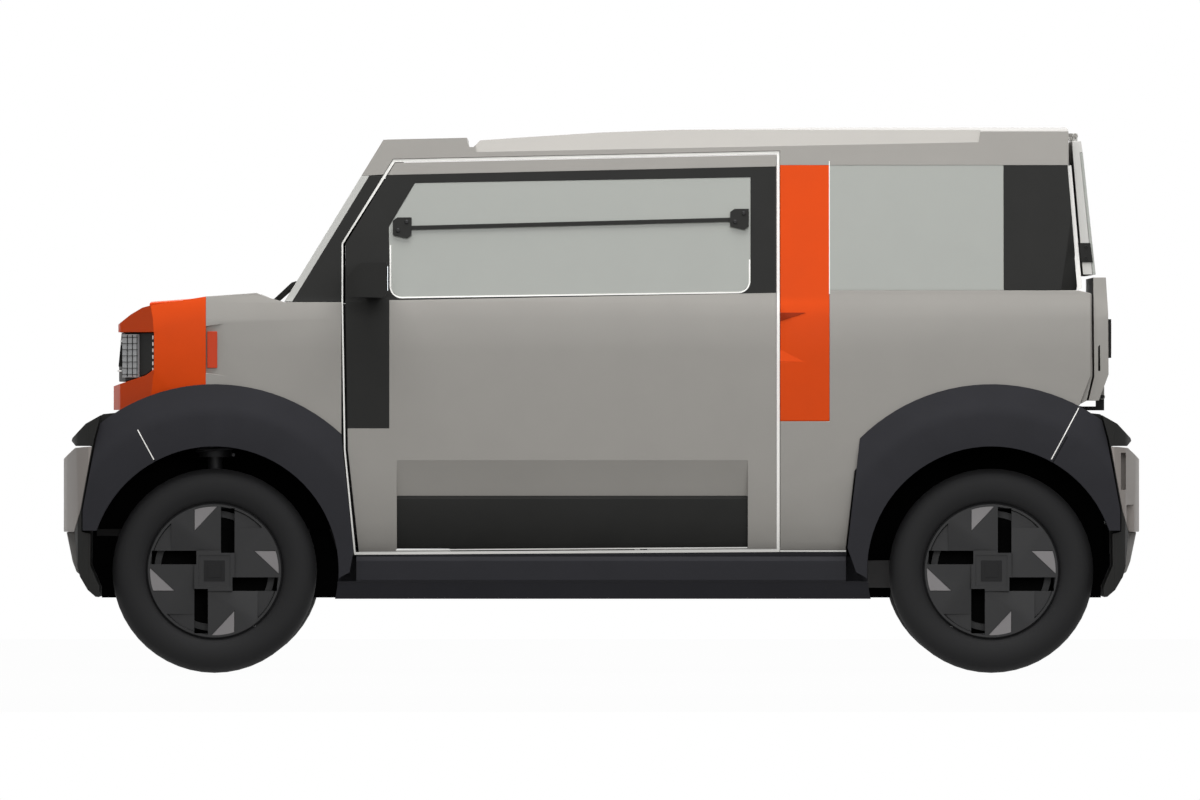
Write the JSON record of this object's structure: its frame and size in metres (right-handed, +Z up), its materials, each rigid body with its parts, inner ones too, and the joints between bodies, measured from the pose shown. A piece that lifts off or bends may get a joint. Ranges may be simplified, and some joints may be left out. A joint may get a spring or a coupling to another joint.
{
  "type": "city car",
  "caption": "Small upright city car with hinged doors, split tailgate, steered front wheels and pinwheel wheel covers.",
  "frame": {"origin": "centre of the bounding box in plan, on the ground", "axes": "+X towards the tail, +Y to the car's right, +Z up"},
  "size_m": [2.996, 1.7244, 1.523],
  "materials": {
    "underbody": "satin",
    "battery": "satin",
    "alloy": "cast",
    "chassis_steel": "satin",
    "liner": "matte",
    "body_grey": "satin",
    "orange": "satin",
    "black_trim": "satin",
    "lens": "clear",
    "marker_orange": "gloss",
    "bumper_grey": "satin",
    "skid_grey": "satin",
    "cladding": "matte",
    "frame_grey": "satin",
    "glass": "tinted",
    "dash": "matte",
    "seat_cloth": "woven",
    "lens_red": "clear",
    "wheel_dark": "satin",
    "tyre": "matte"
  },
  "bodies": {
    "body": {"floor_pan": "underbody", "battery_pack": "battery", "drive_unit": "alloy", "front_subframe": "chassis_steel", "rear_axle": "chassis_steel", "bulkhead": "underbody", "wheelhouses": "liner", "front_wings": "body_grey", "nose_panel": "orange", "grille_panel": "black_trim", "headlamps": "lens", "side_markers": "marker_orange", "bumpers": "black_trim", "bumper_caps": "bumper_grey", "skid_plates": "skid_grey", "arch_cladding": "cladding", "sills": "cladding", "windscreen_frame": "frame_grey", "windscreen": "glass", "wipers": "black_trim", "pillar_panels": "black_trim", "roof": "body_grey", "quarter_panels": "body_grey", "pillar_straps": "orange", "quarter_windows": "glass", "dashboard": "dash", "seats": "seat_cloth"},
    "steering_wheel": {"steering_wheel": "dash"},
    "knuckle_left": {"knuckle_left": "chassis_steel"},
    "knuckle_right": {"knuckle_right": "chassis_steel"},
    "wheel_front_left": {"wheel_front_left": "wheel_dark", "tyre_front_left": "tyre"},
    "wheel_front_right": {"wheel_front_right": "wheel_dark", "tyre_front_right": "tyre"},
    "wheel_rear_left": {"wheel_rear_left": "wheel_dark", "tyre_rear_left": "tyre"},
    "wheel_rear_right": {"wheel_rear_right": "wheel_dark", "tyre_rear_right": "tyre"},
    "door_left": {"door_left": "body_grey", "door_trim_left": "black_trim", "door_glass_left": "glass"},
    "door_right": {"door_right": "body_grey", "door_trim_right": "black_trim", "door_glass_right": "glass"},
    "hatch": {"hatch_frame": "body_grey", "hatch_glass": "glass"},
    "tailgate": {"tailgate": "body_grey", "tail_lamps": "lens_red"},
    "bonnet": {"bonnet": "body_grey", "bonnet_cap": "orange"}
  },
  "joints": [
    {"name": "steer_left", "type": "hinge", "parent": "body", "child": "knuckle_left", "pos_m": [-1.076, -0.64, 0.168], "axis": [0, 0.1482, 0.989], "range_deg": [-30, 30]},
    {"name": "steer_right", "type": "hinge", "parent": "body", "child": "knuckle_right", "pos_m": [-1.076, 0.64, 0.168], "axis": [0, -0.1482, 0.989], "range_deg": [-30, 30]},
    {"name": "steering_column", "type": "hinge", "parent": "body", "child": "steering_wheel", "pos_m": [-0.556, -0.3, 0.93], "axis": [0.9063, 0, 0.4226], "range_deg": [-450, 450]},
    {"name": "spin_front_left", "type": "hinge", "parent": "knuckle_left", "child": "wheel_front_left", "pos_m": [-1.076, -0.67, 0.284], "axis": [0, 1, 0], "continuous": true},
    {"name": "spin_front_right", "type": "hinge", "parent": "knuckle_right", "child": "wheel_front_right", "pos_m": [-1.076, 0.67, 0.284], "axis": [0, 1, 0], "continuous": true},
    {"name": "spin_rear_left", "type": "hinge", "parent": "body", "child": "wheel_rear_left", "pos_m": [1.084, -0.67, 0.284], "axis": [0, 1, 0], "continuous": true},
    {"name": "spin_rear_right", "type": "hinge", "parent": "body", "child": "wheel_rear_right", "pos_m": [1.084, 0.67, 0.284], "axis": [0, 1, 0], "continuous": true},
    {"name": "door_left_hinge", "type": "hinge", "parent": "body", "child": "door_left", "pos_m": [-0.68, -0.71861, 0.82], "axis": [0, 0, -1], "range_deg": [0, 65]},
    {"name": "door_right_hinge", "type": "hinge", "parent": "body", "child": "door_right", "pos_m": [-0.68, 0.71861, 0.82], "axis": [0, 0, 1], "range_deg": [0, 65]},
    {"name": "hatch_hinge", "type": "hinge", "parent": "body", "child": "hatch", "pos_m": [1.322, 0, 1.496], "axis": [0, -1, 0], "range_deg": [0, 85]},
    {"name": "tailgate_hinge", "type": "hinge", "parent": "body", "child": "tailgate", "pos_m": [1.397, 0, 0.768], "axis": [0, 1, 0], "range_deg": [0, 90]},
    {"name": "bonnet_hinge", "type": "hinge", "parent": "body", "child": "bonnet", "pos_m": [-0.964, 0, 1.03], "axis": [0, 1, 0], "range_deg": [0, 60]}
  ],
  "couplings": [
    {"joint": "steer_right", "follows": "steer_left", "ratio": 1},
    {"joint": "steering_column", "follows": "steer_left", "ratio": 15}
  ]
}
